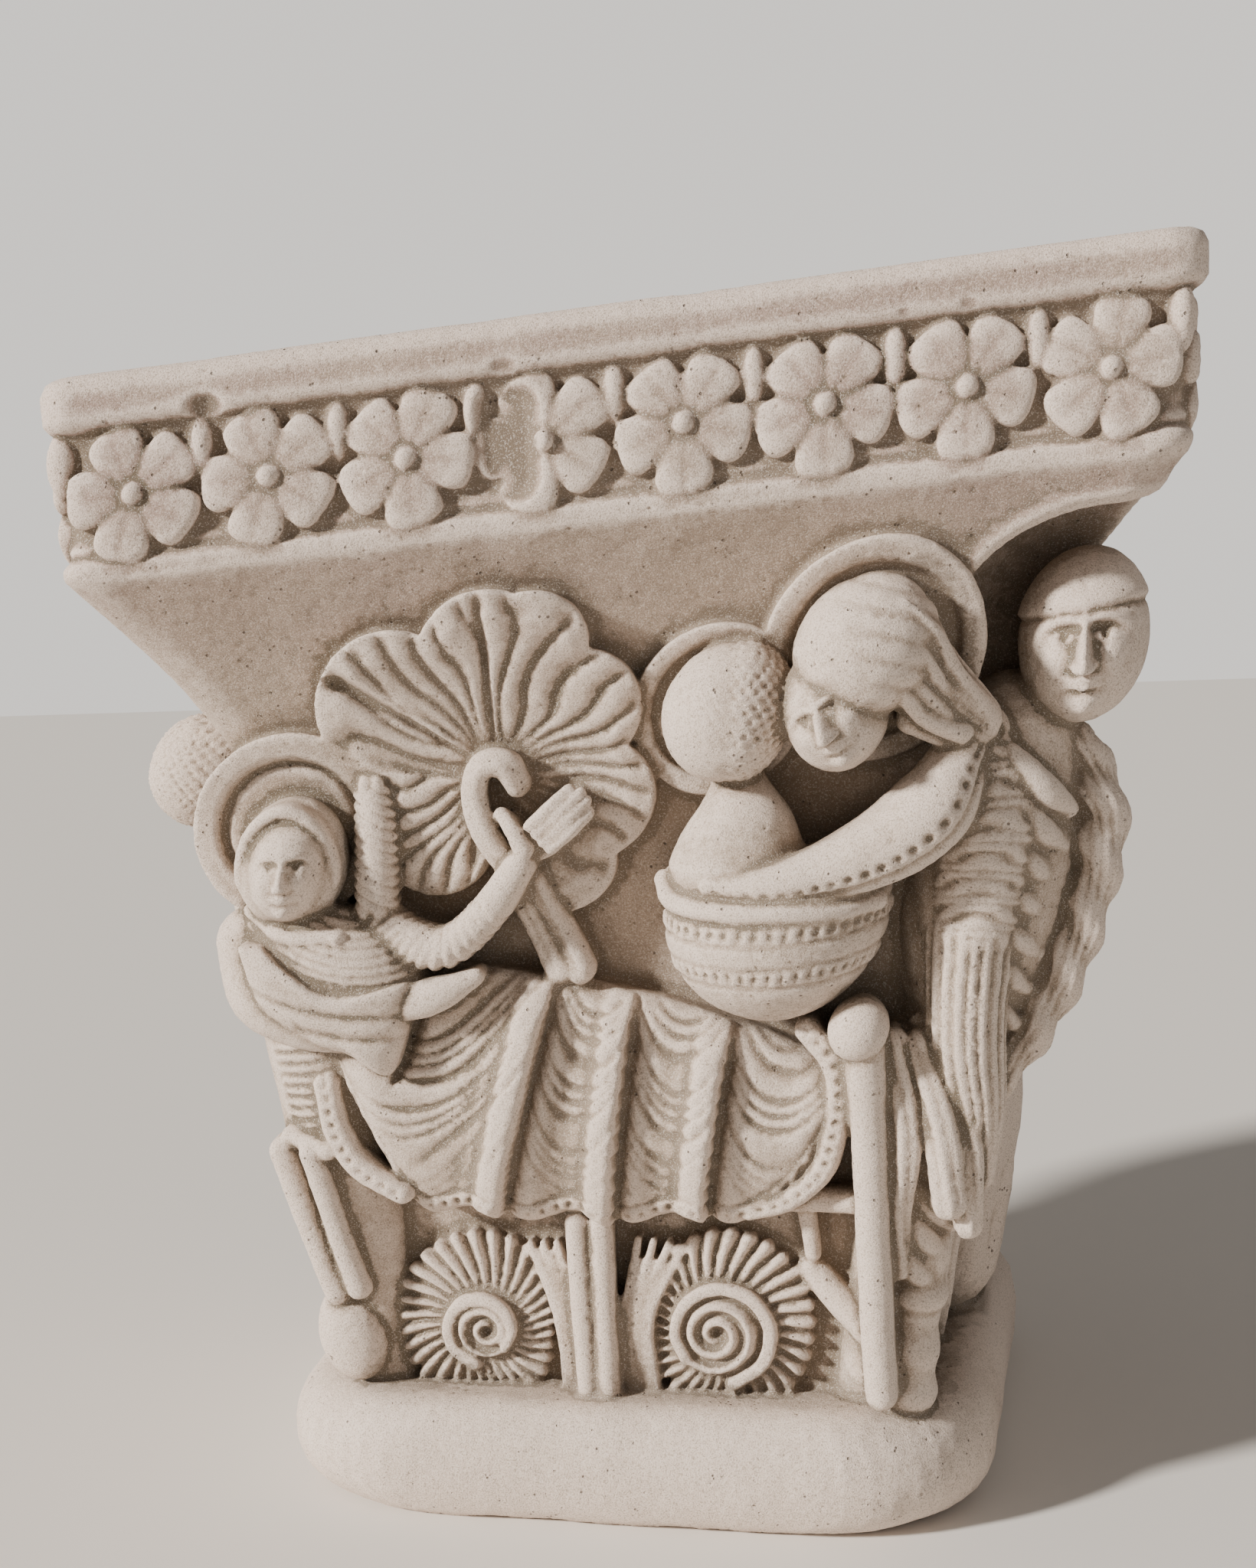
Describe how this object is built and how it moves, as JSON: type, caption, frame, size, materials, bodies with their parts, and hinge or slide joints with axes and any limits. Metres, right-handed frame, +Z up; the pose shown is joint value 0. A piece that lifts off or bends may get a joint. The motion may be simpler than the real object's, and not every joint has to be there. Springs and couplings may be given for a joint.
{
  "type": "column capital",
  "caption": "Carved cast stone capital: square slab with a flower band over a flared block of figures in relief, on a rounded square foot",
  "frame": {"origin": "centre of the underside of the rounded foot, on the surface it stands on", "axes": "+Z up; the main carved side looks along -Y; +X to the right of a viewer of that side; the slab rises towards +X"},
  "size_m": [0.3352, 0.3384, 0.3982],
  "materials": {
    "cast_stone": "matt, sandy cast stone, pale warm grey with ochre grime in the hollows and dark pinholes"
  },
  "bodies": {
    "root": {"capital": "cast_stone"}
  },
  "joints": []
}
